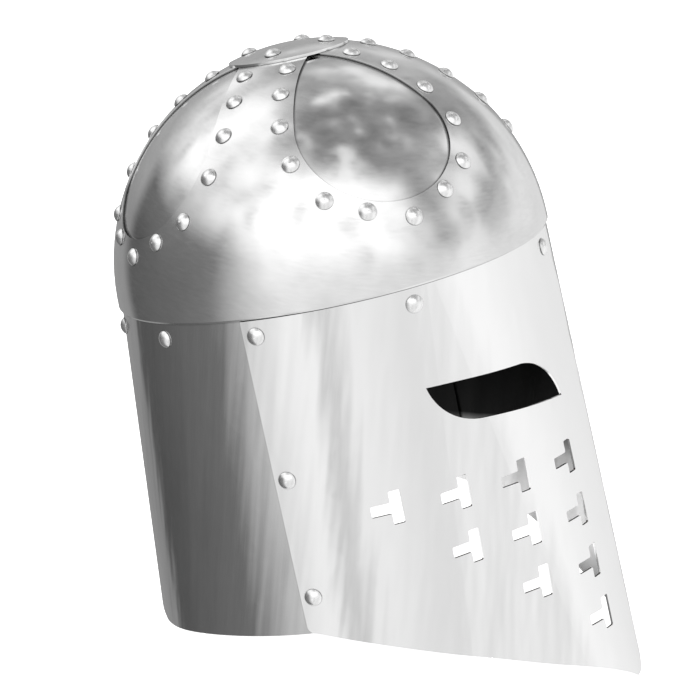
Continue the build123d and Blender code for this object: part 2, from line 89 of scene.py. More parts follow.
cam_az, cam_el, cam_roll = radians(-68.13), radians(11.37), radians(-12.08)
back = Vector((sin(cam_az) * cos(cam_el), -cos(cam_az) * cos(cam_el), sin(cam_el)))
forward = -back
right0 = forward.cross(Vector((0, 0, 1))).normalized()
up0 = right0.cross(forward)
right = right0 * cos(cam_roll) + up0 * sin(cam_roll)
up = up0 * cos(cam_roll) - right0 * sin(cam_roll)
aim = (forward + right * 0.0079 - up * 0.0418).normalized()
place = helm_vector(*back) * CAMERA_AWAY + HEART
aim_w = helm_vector(*aim).normalized()
right_w = helm_vector(*right)
right_w = (right_w - aim_w * right_w.dot(aim_w)).normalized()
up_w = right_w.cross(aim_w)
camera = bpy.data.objects.new("camera", bpy.data.cameras.new("camera"))
scene.collection.objects.link(camera)
turn = Matrix((right_w, up_w, -aim_w)).transposed().to_4x4()
camera.matrix_world = Matrix.Translation(place) @ turn
camera.data.sensor_width = 36.0
camera.data.lens = 113.65
camera.data.clip_start, camera.data.clip_end = 0.05, 60
scene.camera = camera


# ---- materials ---------------------------
def link(tree, a, b):
    tree.links.new(a, b)


def node(tree, kind, **values):
    n = tree.nodes.new(kind)
    for key, value in values.items():
        setattr(n, key, value)
    return n


def new_material(name):
    m = bpy.data.materials.new(name)
    m.use_nodes = True
    tree = m.node_tree
    shader = tree.nodes["Principled BSDF"]
    return m, tree, shader


def stretched(tree, scale, space="Object"):
    coords = node(tree, "ShaderNodeTexCoord")
    mapping = node(tree, "ShaderNodeMapping")
    mapping.inputs["Rotation"].default_value = (LEAN, 0, 0)
    mapping.inputs["Scale"].default_value = scale
    link(tree, coords.outputs[space], mapping.inputs["Vector"])
    return mapping.outputs["Vector"]


def grain(tree, vector, scale, detail=3.0, rough=0.5):
    n = node(tree, "ShaderNodeTexNoise")
    n.inputs["Scale"].default_value = scale
    n.inputs["Detail"].default_value = detail
    n.inputs["Roughness"].default_value = rough
    link(tree, vector, n.inputs["Vector"])
    return n.outputs["Fac"]


def spread(tree, value, low, high, start=0.0, end=1.0):
    n = node(tree, "ShaderNodeMapRange")
    n.inputs["From Min"].default_value = start
    n.inputs["From Max"].default_value = end
    n.inputs["To Min"].default_value = low
    n.inputs["To Max"].default_value = high
    link(tree, value, n.inputs["Value"])
    return n.outputs["Result"]


def ramp(tree, value, stops):
    n = node(tree, "ShaderNodeValToRGB")
    bar = n.color_ramp
    while len(bar.elements) < len(stops):
        bar.elements.new(0.5)
    for element, (place_at, colour) in zip(bar.elements, stops):
        element.position = place_at
        element.color = (*colour, 1) if hasattr(colour, "__len__") else (colour, colour, colour, 1)
    link(tree, value, n.inputs["Fac"])
    return n.outputs["Color"]


def bump(tree, height, strength, distance, under=None):
    n = node(tree, "ShaderNodeBump")
    n.inputs["Strength"].default_value = strength
    n.inputs["Distance"].default_value = distance
    link(tree, height, n.inputs["Height"])
    if under is not None:
        link(tree, under, n.inputs["Normal"])
    return n.outputs["Normal"]


PAINTED_SHADE_EDGE = (0.063, 0.078)      # heights between which the painted shade on the inner faces fades out
PAINTED_SHADE_TILT = 0.3                # how much lower that edge lies towards the back
PAINTED_SHADE_BLOTCH = 0.012            # how far the painted shade's edge wanders
INNER = (-0.065, -0.055)       # a face that looks at the core by more than this is an inner one
PAINTED_SHADE_REACH = 0.0018           # how far from a corner the painted shade darkens the steel


def facing_out(tree, core):
    """Two values: 1 on faces that look away from the helmet's core, core mm up its axis, and 0 on
    those that look at it, then the height that the edge of the painted shade on the inner faces is read
    from.
    A step's wall or a cut edge looks sideways, and counts as outside."""
    coords = node(tree, "ShaderNodeTexCoord")
    offset = node(tree, "ShaderNodeVectorMath", operation="SUBTRACT")
    link(tree, coords.outputs["Object"], offset.inputs[0])
    offset.inputs[1].default_value = tuple(at(0, 0, core))
    dot = node(tree, "ShaderNodeVectorMath", operation="DOT_PRODUCT")
    link(tree, offset.outputs[0], dot.inputs[0])
    link(tree, coords.outputs["Normal"], dot.inputs[1])
    split = node(tree, "ShaderNodeSeparateXYZ")
    link(tree, coords.outputs["Object"], split.inputs[0])
    level = node(tree, "ShaderNodeMath", operation="MULTIPLY_ADD")
    link(tree, split.outputs["Y"], level.inputs[0])
    level.inputs[1].default_value = PAINTED_SHADE_TILT
    link(tree, split.outputs["Z"], level.inputs[2])
    return spread(tree, dot.outputs["Value"], 0.0, 1.0, *INNER), level.outputs[0]


def steel(name, dark, light, rough, lines, cloud=14.0, wave=0.0, cross=None, inside=None, core=10,
          ripples=None):
    """Rubbed steel: cloudy tone, fine lines along one direction, scratches across them.
    inside is how bright the unpolished inner face is above and below an edge; its dark value is painted
    shade for the shaded inside of the helmet.
    ripples are the upright waves that rolling leaves in a sheet."""
    m, tree, shader = new_material(name)
    shader.inputs["Metallic"].default_value = 1.0
    plain = stretched(tree, (1, 1, 1))
    clouds = grain(tree, plain, cloud, 4.0, 0.55)
    fine = grain(tree, stretched(tree, lines), 1.0, 2.0, 0.6)
    mix = node(tree, "ShaderNodeMath", operation="MULTIPLY_ADD")
    link(tree, fine, mix.inputs[0])
    mix.inputs[1].default_value = 0.35
    link(tree, spread(tree, clouds, 0.0, 0.75, 0.25, 0.75), mix.inputs[2])
    tone = ramp(tree, mix.outputs[0], ((0.0, dark), (1.0, light)))
    gloss = spread(tree, fine, rough * 0.8, rough * 1.25, 0.3, 0.7)
    # painted shade: inner faces are darkened above a height, in place of the shade inside the helmet
    if inside:
        outward, level = facing_out(tree, core)
        shade_line = node(tree, "ShaderNodeMath", operation="MULTIPLY_ADD")
        link(tree, clouds, shade_line.inputs[0])
        shade_line.inputs[1].default_value = PAINTED_SHADE_BLOTCH
        link(tree, level, shade_line.inputs[2])
        inner = ramp(tree, spread(tree, shade_line.outputs[0], 0.0, 1.0, *PAINTED_SHADE_EDGE),
                     ((0.0, inside[1]), (1.0, inside[0])))
        pick = node(tree, "ShaderNodeMix", data_type="RGBA")
        link(tree, outward, pick.inputs["Factor"])
        link(tree, inner, pick.inputs[6])
        link(tree, tone, pick.inputs[7])
        tone = pick.outputs[2]
        dull = node(tree, "ShaderNodeMix", data_type="FLOAT")
        link(tree, outward, dull.inputs["Factor"])
        link(tree, spread(tree, fine, 0.3, 0.5), dull.inputs[2])
        link(tree, gloss, dull.inputs[3])
        gloss = dull.outputs[0]
    # painted shade: an ambient-occlusion node darkens the colour in the corners, round the rivets and along
    # the edges of the plates
    corner = node(tree, "ShaderNodeAmbientOcclusion", samples=8)
    corner.inputs["Distance"].default_value = PAINTED_SHADE_REACH
    painted_shade = node(tree, "ShaderNodeMix", data_type="RGBA", blend_type="MULTIPLY")
    painted_shade.inputs["Factor"].default_value = 1.0
    link(tree, tone, painted_shade.inputs[6])
    link(tree, ramp(tree, corner.outputs["AO"], ((0.4, 0.3), (0.85, 1.0))), painted_shade.inputs[7])
    tone = painted_shade.outputs[2]
    link(tree, tone, shader.inputs["Base Color"])
    link(tree, gloss, shader.inputs["Roughness"])
    normal = bump(tree, fine, 0.16, 0.00002)
    if cross:
        normal = bump(tree, grain(tree, stretched(tree, cross), 1.0, 2.0, 0.7), 0.14, 0.00002, normal)
    if wave:
        normal = bump(tree, grain(tree, plain, wave, 1.0, 0.4), 0.5, 0.0012, normal)
    if ripples:
        normal = bump(tree, grain(tree, stretched(tree, ripples), 1.0, 2.0, 0.5), 0.8, 0.0012, normal)
    link(tree, normal, shader.inputs["Normal"])
    return m


DOME = steel("dome_steel", 0.62, 0.95, 0.15, (160, 160, 700), 16.0, 12.0, (500, 60, 60), (0.03, 0.03))
PLATE = steel("inset_steel", 0.6, 0.92, 0.13, (160, 160, 700), 18.0, 15.0, (60, 500, 60), (0.03, 0.03))
DISC = steel("disc_steel", 0.65, 0.95, 0.15, (300, 300, 300), 24.0, 14.0)
# the face and rear plates are one steel in two copies: the face plate's lighter tone is painted light, the
# rear plate's darker tone painted shade
FACE_STEEL_LIT = steel("face_steel", 0.88, 0.97, 0.15, (1500, 1500, 22), 9.0, 7.0, (30, 30, 1800), (0.018, 0.92),
             -60, (60, 60, 5))
REAR_STEEL_SHADED = steel("rear_steel", 0.56, 0.76, 0.14, (1500, 1500, 18), 10.0, 7.0, (30, 30, 1800), (0.018, 0.3),
             -60, (60, 60, 5))
RIVET = steel("rivet_steel", 0.9, 0.99, 0.28, (900, 900, 900), 240.0)
WASHER = steel("washer_steel", 0.3, 0.55, 0.3, (900, 900, 900), 200.0)
BUCKLE = steel("buckle_metal", 0.36, 0.72, 0.22, (900, 900, 500), 160.0, 0.0, (700, 700, 700))


def leather(name, dark, light, rough=0.55, pores=1500.0):
    m, tree, shader = new_material(name)
    plain = stretched(tree, (1, 1, 1))
    worn = grain(tree, plain, 45.0, 5.0, 0.6)
    link(tree, ramp(tree, worn, ((0.3, dark), (0.72, light))), shader.inputs["Base Color"])
    link(tree, spread(tree, worn, rough * 0.8, rough * 1.2, 0.3, 0.7), shader.inputs["Roughness"])
    cells = node(tree, "ShaderNodeTexVoronoi", feature="DISTANCE_TO_EDGE")
    cells.inputs["Scale"].default_value = pores
    link(tree, plain, cells.inputs["Vector"])
    creases = bump(tree, grain(tree, plain, 220.0, 4.0, 0.6), 0.35, 0.0004)
    link(tree, bump(tree, cells.outputs["Distance"], 0.5, 0.0002, creases), shader.inputs["Normal"])
    return m


def cloth(name, dark, light, threads=1300.0):
    m, tree, shader = new_material(name)
    plain = stretched(tree, (1, 1, 1))
    stain = grain(tree, plain, 60.0, 4.0, 0.6)
    warp = grain(tree, stretched(tree, (threads, threads, 90)), 1.0, 1.0)
    weft = grain(tree, stretched(tree, (90, 90, threads)), 1.0, 1.0)
    both = node(tree, "ShaderNodeMath", operation="MULTIPLY")
    link(tree, warp, both.inputs[0])
    link(tree, weft, both.inputs[1])
    tone = node(tree, "ShaderNodeMath", operation="ADD")
    link(tree, stain, tone.inputs[0])
    link(tree, spread(tree, both.outputs[0], -0.3, 0.3, 0.1, 0.45), tone.inputs[1])
    link(tree, ramp(tree, tone.outputs[0], ((0.25, dark), (0.8, light))), shader.inputs["Base Color"])
    link(tree, spread(tree, stain, 0.85, 0.98), shader.inputs["Roughness"])
    shader.inputs["Sheen Weight"].default_value = 0.25
    link(tree, bump(tree, both.outputs[0], 0.7, 0.0004), shader.inputs["Normal"])
    return m


LINER = leather("liner_hide", (0.13, 0.09, 0.06), (0.3, 0.21, 0.14), 0.6)
STRAP = leather("strap_hide", (0.07, 0.045, 0.03), (0.19, 0.125, 0.08), 0.42, 1900.0)
SPACER = leather("spacer_hide", (0.06, 0.045, 0.035), (0.13, 0.1, 0.075), 0.6)
LACE = leather("lace_hide", (0.12, 0.09, 0.06), (0.26, 0.2, 0.14), 0.6, 2600.0)
PAD = cloth("pad_linen", (0.2, 0.18, 0.15), (0.46, 0.43, 0.37))
THREAD = cloth("waxed_thread", (0.35, 0.31, 0.24), (0.62, 0.56, 0.45), 4000.0)


def dress(material, *names):
    for name in names:
        slots = frame["nodes"][name].material_slots
        if not slots:
            frame["nodes"][name].data.materials.append(material)
        for entry in slots:
            entry.material = material


ENDS = [e + "_" + h for e in ("front", "rear") for h in ("right", "left")]
dress(DOME, "skull_frame")
dress(PLATE, *["infill_plate_" + e for e in ENDS])
dress(DISC, "crown_disc")
dress(FACE_STEEL_LIT, "face_plate")
dress(REAR_STEEL_SHADED, "rear_plate")
dress(RIVET, *[k + "_rivets" for k in ("window", "crown", "brow", "nape", "temple", "side")])
dress(WASHER, "liner_washers", "temple_washers")
dress(SPACER, "strap_spacers")
dress(BUCKLE, "buckle_frame", "buckle_prong", "strap_rivet")


# ---- mesh helpers ---------------------------
def piece(name, bm, material, body, slot, *stands_for, smooth=True):
    bmesh.ops.remove_doubles(bm, verts=bm.verts, dist=1e-6)
    bmesh.ops.recalc_face_normals(bm, faces=bm.faces)
    data = bpy.data.meshes.new(name)
    bm.to_mesh(data)
    bm.free()
    for face in data.polygons:
        face.use_smooth = smooth
    data.materials.append(material)
    obj = bpy.data.objects.new(name, data)
    scene.collection.objects.link(obj)
    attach(obj, body)
    if stands_for:
        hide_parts(*stands_for)
    return obj


def strip(bm, rings, closed=False, capped=True):
    """Skins a list of closed rings of points."""
    made = [[bm.verts.new(p) for p in ring] for ring in rings]
    pairs = list(zip(made, made[1:]))
    if closed:
        pairs.append((made[-1], made[0]))
    for a, b in pairs:
        for k in range(len(a)):
            j = (k + 1) % len(a)
            bm.faces.new((a[k], a[j], b[j], b[k]))
    if capped and not closed:
        bm.faces.new(list(reversed(made[0])))
        bm.faces.new(made[-1])


def stitch_beads(bm, spots, length=2.4, thick=0.45, lift=0.0):
    """Short thread stitches: a spot is (point, along, out)."""
    for point, run, out in spots:
        run = run.normalized()
        out = out.normalized()
        side = run.cross(out).normalized()
        rings = []
        for t, swell in ((-1, 0.35), (-0.6, 0.95), (0, 1.0), (0.6, 0.95), (1, 0.35)):
            arch = (1 - t * t) * 0.3 + lift
            centre = point + run * (t * length / 2 * MM) + out * (arch * MM)
            rings.append([
                centre + (side * cos(a) + out * sin(a)) * (thick * swell * MM)
                for a in [k * tau / 6 for k in range(6)]
            ])
        strip(bm, rings)


def rounded(points, radius, steps=3):
    """A closed outline of (x, y) with rounded corners."""
    out = []
    count = len(points)
    for k in range(count):
        p = Vector(points[k])
        a = (Vector(points[k - 1]) - p).normalized()
        b = (Vector(points[(k + 1) % count]) - p).normalized()
        for s in range(steps + 1):
            t = s / steps
            q = p + a * radius * (1 - t) ** 2 + b * radius * t * t
            out.append((q.x, q.y))
    return out


# ---- liner band: a leather hoop, stitched along both edges ---------------------------
BAND_OUT, BAND_IN, BAND_LOW, BAND_TOP = 101.5, 99.3, -21.9, 15.9
bm = bmesh.new()
section = rounded(
    ((BAND_IN, BAND_LOW), (BAND_OUT, BAND_LOW), (BAND_OUT, BAND_TOP), (BAND_IN, BAND_TOP)), 0.9
)
rings = []
for k in range(180):
    a = k * tau / 180
    ripple = 0.35 * noise(Vector((3 * cos(a), 3 * sin(a), 0)))
    rings.append([round_axis(r, a, z + (ripple if z > 0 else -ripple)) for r, z in section])
strip(bm, rings, closed=True)
piece("leather_band", bm, LINER, "helmet", "liner_leather", "liner_band")
bm = bmesh.new()
spots = []
for z in (BAND_LOW + 3.0, BAND_TOP - 3.0):
    for k in range(150):
        a = k * tau / 150
        run = SIDE * -sin(a) + BACK * cos(a)
        spots.append((round_axis(BAND_IN - 0.05, a, z), run, -(SIDE * cos(a) + BACK * sin(a))))
stitch_beads(bm, spots)
piece("band_stitches", bm, THREAD, "helmet", "lace")

# ---- eight lobes, each narrowing to a hem round the lace ---------------------------
LOBE_R, LOBE_T, LOBE_LOW, LOBE_BEND, LOBE_RISE = 98.9, 2.0, 4.0, 14.0, 72.0
RING = 24.0
mid_r, mid_rise = LOBE_R - LOBE_T / 2, LOBE_RISE - LOBE_T / 2
lace_z = LOBE_BEND + mid_rise * sqrt(1 - (RING / mid_r) ** 2)
hem_end = acos(RING / mid_r)


def lobe_line(v):
    """Mid line of a lobe's section: (r, z, outward r, outward z) at v from 0 to 1."""
    if v < 0.08:
        return mid_r, LOBE_LOW + (LOBE_BEND - LOBE_LOW) * v / 0.08, 1.0, 0.0
    a = hem_end * (v - 0.08) / 0.92
    r, z = mid_r * cos(a), LOBE_BEND + mid_rise * sin(a)
    nr, nz = cos(a) / mid_r, sin(a) / mid_rise
    size = sqrt(nr * nr + nz * nz)
    return r, z, nr / size, nz / size


COLS, ROWS = 14, 34
for number in range(8):
    middle = radians(22.5 + 45 * number)
    bm = bmesh.new()
    rings = []
    for row in range(ROWS + 1):
        v = row / ROWS
        r, z, nr, nz = lobe_line(v)
        narrow = 19.9 - 5.5 * sin(pi * min(1.0, v * 1.1)) ** 1.4
        loop = []
        for side in (1, -1):
            for col in range(COLS + 1):
                u = (col / COLS * 2 - 1) * side
                edge = 1 - max(0.0, abs(u) - 0.86) / 0.14
                half = LOBE_T / 2 * (0.45 + 0.5 * sqrt(max(0.0, 1 - (1 - edge) ** 2)))
                slack = -1.6 * sin(pi * v) ** 2 * (1 - u * u)
                crease = 0.5 * noise(Vector((u * 2 + number * 7, v * 5, number)))
                push = side * half + (slack + crease) * sin(pi * v)
                a = middle + radians(narrow) * u
                loop.append(round_axis(r + nr * push, a, z + nz * push))
        rings.append(loop)
    strip(bm, rings)
    # hem rolled round the lace
    rings = []
    for col in range(13):
        a = middle + radians(18.5) * (col / 6 - 1)
        gather = 0.25 * cos(col * pi * 0.9)
        rings.append([
            round_axis(RING + (2.75 + gather) * cos(t), a, lace_z + (2.75 + gather) * sin(t))
            for t in [k * tau / 16 for k in range(16)]
        ])
    strip(bm, rings)
    name = "liner_lobe_" + str(number + 1)
    piece("leather_lobe_" + str(number + 1), bm, LINER, "helmet", "liner_leather", name)
bm = bmesh.new()
spots = []
for number in range(8):
    middle = radians(22.5 + 45 * number)
    for u in [k / 5 - 1 for k in range(11)]:
        for v, low in ((0.03, 0), (0.93, 1)):
            r, z, nr, nz = lobe_line(v)
            a = middle + radians(17.0) * u
            run = SIDE * -sin(a) + BACK * cos(a)
            out = -((SIDE * cos(a) + BACK * sin(a)) * nr + UP * nz)
            spots.append((round_axis(r - nr * 1.05, a, z - nz * 1.05), run, out))
stitch_beads(bm, spots, 2.2, 0.42)
piece("lobe_stitches", bm, THREAD, "helmet", "lace")

# ---- lace: two strands twisted together ---------------------------
bm = bmesh.new()
for strand in (0, pi):
    rings = []
    for k in range(240):
        a = k * tau / 240
        w = strand + a * 22
        cr, cz = RING + 0.62 * cos(w), lace_z + 0.62 * sin(w)
        rings.append([
            round_axis(cr + 0.85 * cos(t), a, cz + 0.85 * sin(t)) for t in [j * tau / 8 for j in range(8)]
        ])
    strip(bm, rings, closed=True)
piece("twisted_lace", bm, LACE, "helmet", "lace", "crown_lace")


# ---- pads: quilted linen over felt ---------------------------
def quilt(u, v, channels):
    """Fullness of a quilted pad at u, v in 0..1: puffed between sewn channels, tight at the rim."""
    rim = min(u, 1 - u) * 14, min(v, 1 - v) * 5
    rim = min(1.0, max(0.0, rim[0])) ** 0.5 * min(1.0, max(0.0, rim[1])) ** 0.5
    puff = abs(sin(pi * u * channels)) ** 0.7
    return rim * (0.1 + 0.9 * puff)


PAD_OUT, PAD_IN, PAD_LOW, PAD_HIGH = 95.5, 89.4, -21.8, 11.8
PIPE_LINE, PIPE = 92.4, 1.5     # the bound edge: its middle line and its radius


def curved_pad(name, node_name, middle, spread_deg, channels):
    cols, rows = channels * 12, 20
    bm = bmesh.new()
    rings = []
    for col in range(cols + 1):
        u = col / cols
        a = radians(middle + spread_deg * (u - 0.5))
        loop = []
        for row in range(rows + 1):
            v = row / rows
            z = PAD_LOW + (PAD_HIGH - PAD_LOW) * v
            full = quilt(u, v, channels)
            wrinkle = 0.22 * noise(Vector((u * 40, v * 9, middle)))
            r = PAD_OUT - (PAD_OUT - PAD_IN) * (0.42 + 0.55 * full)
            loop.append(round_axis(r + wrinkle, a, z))
        for row in range(rows, -1, -1):
            v = row / rows
            z = PAD_LOW + (PAD_HIGH - PAD_LOW) * v
            r = PAD_OUT - (PAD_OUT - PAD_IN) * 0.3 * (1 - quilt(u, v, channels) ** 0.5)
            loop.append(round_axis(r, a, z))
        rings.append(loop)
    strip(bm, rings)
    pad = piece(name, bm, PAD, "helmet", "pad_cloth", node_name)
    return pad


def pad_edge(half, low, high, corner=1.5):
    """The outline of a pad laid flat, in steps short enough to bend round the head."""
    turns = []
    for x, z, start in ((half - corner, high - corner, 0), (corner - half, high - corner, 90),
                        (corner - half, low + corner, 180), (half - corner, low + corner, 270)):
        for k in range(5):
            a = radians(start + 22.5 * k)
            turns.append((x + corner * cos(a), z + corner * sin(a)))
    out = []
    for k, (x, z) in enumerate(turns):
        x2, z2 = turns[(k + 1) % len(turns)]
        steps = max(1, round(sqrt((x2 - x) ** 2 + (z2 - z) ** 2) / 3))
        out += [(x + (x2 - x) * j / steps, z + (z2 - z) * j / steps) for j in range(steps)]
    return out


piping, quilting = bmesh.new(), []
for name, node_name, middle, wide, channels in (
    ("quilted_brow_pad", "brow_pad", 270, 115.4, 11), ("quilted_nape_pad", "nape_pad", 90, 99.4, 9)
):
    curved_pad(name, node_name, middle, wide, channels)
    # a leather edge bound all round
    edge = []
    for x, z in pad_edge(radians(wide / 2) * PIPE_LINE - PIPE, PAD_LOW + PIPE, PAD_HIGH - PIPE):
        a = radians(middle) + x / PIPE_LINE
        edge.append((round_axis(PIPE_LINE, a, z), SIDE * cos(a) + BACK * sin(a)))
    rings = []
    for k, (spot, radial) in enumerate(edge):
        run = (edge[(k + 1) % len(edge)][0] - edge[k - 1][0]).normalized()
        across = run.cross(radial).normalized()
        rings.append([
            spot + (radial * cos(t) + across * sin(t)) * PIPE * MM for t in [j * tau / 8 for j in range(8)]
        ])
    strip(piping, rings, closed=True)
    # thread down the bottom of each sewn channel
    for k in range(1, channels):
        a = radians(middle + wide * (k / channels - 0.5))
        inward = -(SIDE * cos(a) + BACK * sin(a))
        for j in range(8):
            quilting.append((round_axis(92.6, a, PAD_LOW + 3.6 + 3.8 * j), UP, inward))
piece("pad_piping", piping, LINER, "helmet", "liner_leather")
bm = bmesh.new()
stitch_beads(bm, quilting, 2.6, 0.4)
piece("pad_stitches", bm, THREAD, "helmet", "lace")

bm = bmesh.new()
disc_z = lace_z + 1.5 + 2.3
rings = []
R_PAD = 32.6
CIRCLES, AROUND = 14, 64
top, low = [], []
for j in range(1, CIRCLES + 1):
    r = R_PAD * j / CIRCLES
    edge = sqrt(max(0.0, 1 - (j / CIRCLES) ** 6))
    dimple = 1 - 0.8 * (1 - min(1.0, j / 2.4))
    band_puff = 0.7 + 0.3 * abs(sin(pi * (r / 11.0)))
    ring_top, ring_low = [], []
    for k in range(AROUND):
        a = k * tau / AROUND
        wedge = 0.82 + 0.18 * abs(sin(a * 4)) ** 0.5
        h = 2.9 * edge * dimple * band_puff * wedge
        ring_top.append(at(r * cos(a), r * sin(a), disc_z + 3.0 + h))
        ring_low.append(at(r * cos(a), r * sin(a), disc_z + 3.0 - h))
    top.append(ring_top)
    low.append(ring_low)
for stack, z in ((top, disc_z + 3.4), (low, disc_z + 2.6)):
    made = [[bm.verts.new(p) for p in ring] for ring in stack]
    heart = bm.verts.new(at(0, 0, z))
    for k in range(AROUND):
        bm.faces.new((heart, made[0][k], made[0][(k + 1) % AROUND]))
    for a, b in zip(made, made[1:]):
        for k in range(AROUND):
            j = (k + 1) % AROUND
            bm.faces.new((a[k], a[j], b[j], b[k]))
pad = piece("quilted_crown_pad", bm, PAD, "helmet", "pad_cloth", "crown_pad")

# ---- chin strap ---------------------------
CANT = radians(11)
THICK = 2.4
HALF = 10.0


def strap_spot(side, s):
    """Centre of the strap s mm below its rivet, and the outward direction there."""
    temple = temple_l if side > 0 else temple_r
    mid = side * (96.6 - THICK / 2)
    bend = 3.0
    if s < 12 - bend:
        a, x, z = 0.0, mid, -s
    elif s > 12 + bend:
        a, x, z = CANT, mid - side * (s - 12) * sin(CANT), -12 - (s - 12) * cos(CANT)
    else:
        t = (s - 12 + bend) / (2 * bend)
        a = CANT * t
        x = mid - side * bend * sin(CANT) * t * t
        z = -12 + bend * (1 - t) ** 2 - bend * cos(CANT) * t * t
    return Vector((x * MM, temple.y, temple.z + z * MM)), Vector((side * cos(a), 0, -sin(a)))


def hanging(side, stations, width):
    """Rows of a strap that hangs from its rivet: (centre, outward, half width, thickness)."""
    return [(*strap_spot(side, s), width(s), THICK) for s in stations]


def strap(name, rows, body, node_name):
    """A leather strap with rounded edges and a crowned face."""
    bm = bmesh.new()
    rings = []
    for centre, out, half, thick in rows:
        loop = []
        for sign in (1, -1):
            for k in range(13):
                u = (k / 6 - 1) * sign
                fall = thick / 2 * (1 - 0.62 * max(0.0, abs(u) - 0.72) / 0.28)
                groove = 0.16 if 0.68 < abs(u) < 0.86 and thick == THICK else 0.0
                loop.append(centre + Vector((0, u * half * MM, 0)) + out * (sign * (fall - groove) * MM))
        rings.append(loop)
    strip(bm, rings)
    return piece(name, bm, STRAP, body, "strap_leather", node_name)


def cut(obj, bm):
    """Takes a cutter's solid out of a piece, with a boolean that is applied at once."""
    data = bpy.data.meshes.new("cutter")
    bm.to_mesh(data)
    bm.free()
    tool = bpy.data.objects.new("cutter", data)
    scene.collection.objects.link(tool)
    step = obj.modifiers.new("cut", "BOOLEAN")
    step.operation, step.solver, step.object = "DIFFERENCE", "EXACT", tool
    bpy.context.view_layer.update()
    graph = bpy.context.evaluated_depsgraph_get()
    result = bpy.data.meshes.new_from_object(obj.evaluated_get(graph))
    obj.modifiers.clear()
    obj.data = result
    bpy.data.objects.remove(tool)


def punch(obj, centres, radius):
    """Cuts round holes through a strap."""
    bm = bmesh.new()
    for centre, out in centres:
        turn = out.to_track_quat("Z", "Y").to_matrix().to_4x4()
        bmesh.ops.create_cone(
            bm, cap_ends=True, segments=28, radius1=radius * MM, radius2=radius * MM,
            depth=0.02, matrix=Matrix.Translation(centre) @ turn,
        )
    cut(obj, bm)


def top_round(s):
    return HALF if s > 0 else sqrt(max(0.02, HALF**2 - s * s))


LONG, SHORT = 146.0, 100.0


def long_width(s):
    left = LONG - s
    if left < 16:
        return max(0.5, HALF * (1 - (1 - left / 16) ** 1.7))
    return top_round(s)


RIVET_HOLE, LAP_HOLE, PRONG_HOLE = 2.06, 1.56, 1.9
head = [-9.9, -9.6, -9, -8, -6.5, -5, -3, -1, 0, 3, 6] + [9 + 1.0 * k for k in range(7)]
long_rows = head + [18 + 4 * k for k in range(29)]
long_rows += [133 + k for k in range(13)] + [145.7]
right_strap = strap("holed_strap", hanging(-1, long_rows, long_width), "chin_strap_right", "strap_right")
spots = [strap_spot(-1, LONG - 30 - 17 * n) for n in range(5)]
punch(right_strap, spots, PRONG_HOLE)
punch(right_strap, [strap_spot(-1, 0)], RIVET_HOLE)

# the buckle strap goes round the heel bar and its end is turned back up under the rivet
heel = Vector(joints["buckle_hinge"]["pos_m"])
DOWN = Vector((-sin(CANT), 0, -cos(CANT)))
OUT = Vector((cos(CANT), 0, -sin(CANT)))
BAR = 1.65
WRAP = BAR + THICK / 2 + 0.02


def fold_point(x, y, z):
    return heel + DOWN * (x * MM) + Vector((0, y * MM, 0)) + OUT * (z * MM)


def lying(thick):
    """How far out the turned back end's middle is where it lies on the strap."""
    return -WRAP + THICK / 2 + thick / 2 + 0.03


fold_path = [(-4, -WRAP, THICK, 9.95), (-2, -WRAP, THICK, 9.9)]
for k in range(19):
    a = radians(-90 + 10 * k)
    fold_path.append((WRAP * cos(a), WRAP * sin(a), THICK, 9.9))
for k in range(1, 11):
    t = k / 10
    fold_path.append((-14 * t, WRAP + (lying(THICK) - WRAP) * t * t * (3 - 2 * t), THICK, 9.9))
fold_path += [(-14 - 3 * k, lying(THICK), THICK, 9.9) for k in range(1, 6)]
fold_path += [(-30.2, lying(1.9), 1.9, 9.7), (-31, lying(1.1), 1.1, 9.2)]
short_rows = hanging(1, head + [18 + 4 * k for k in range(20)], top_round)
for k, (x, z, thick, half) in enumerate(fold_path):
    ahead, behind = fold_path[min(k + 1, len(fold_path) - 1)], fold_path[max(k - 1, 0)]
    run = Vector((ahead[0] - behind[0], ahead[1] - behind[1])).normalized()
    short_rows.append((fold_point(x, 0, z), DOWN * -run.y + OUT * run.x, half, thick))
left_strap = strap("buckle_strap", short_rows, "chin_strap_left", "strap_left")
punch(left_strap, [strap_spot(1, 0)], RIVET_HOLE)
punch(left_strap, [strap_spot(1, SHORT - 22)], LAP_HOLE)
# the slot that lets the prong through
SLOT_HALF = 2.4
slot = [(8, -SLOT_HALF), (8, SLOT_HALF)]
slot += [(-3.1 - SLOT_HALF * sin(a), SLOT_HALF * cos(a)) for a in [k * pi / 10 for k in range(11)]]
bm = bmesh.new()
strip(bm, [[fold_point(x, y, z) for x, y in slot] for z in (-7, 7)])
bmesh.ops.recalc_face_normals(bm, faces=bm.faces)
cut(left_strap, bm)

# stitches along both edges of each strap
for side, last, body in ((-1, 128, "chin_strap_right"), (1, 88, "chin_strap_left")):
    bm = bmesh.new()
    spots = []
    s = 4.0
    while s < last:
        centre, out = strap_spot(side, s)
        run = (strap_spot(side, s + 0.5)[0] - centre).normalized()
        for edge in (1, -1):
            for face in (1, -1):
                spot = centre + Vector((0, edge * 7.7 * MM, 0)) + out * (face * (THICK / 2 - 0.35) * MM)
                spots.append((spot, run, out * face))
        s += 3.6
    stitch_beads(bm, spots, 2.3, 0.36)
    piece("strap_stitches_" + ("right" if side < 0 else "left"), bm, THREAD, body, "lace")

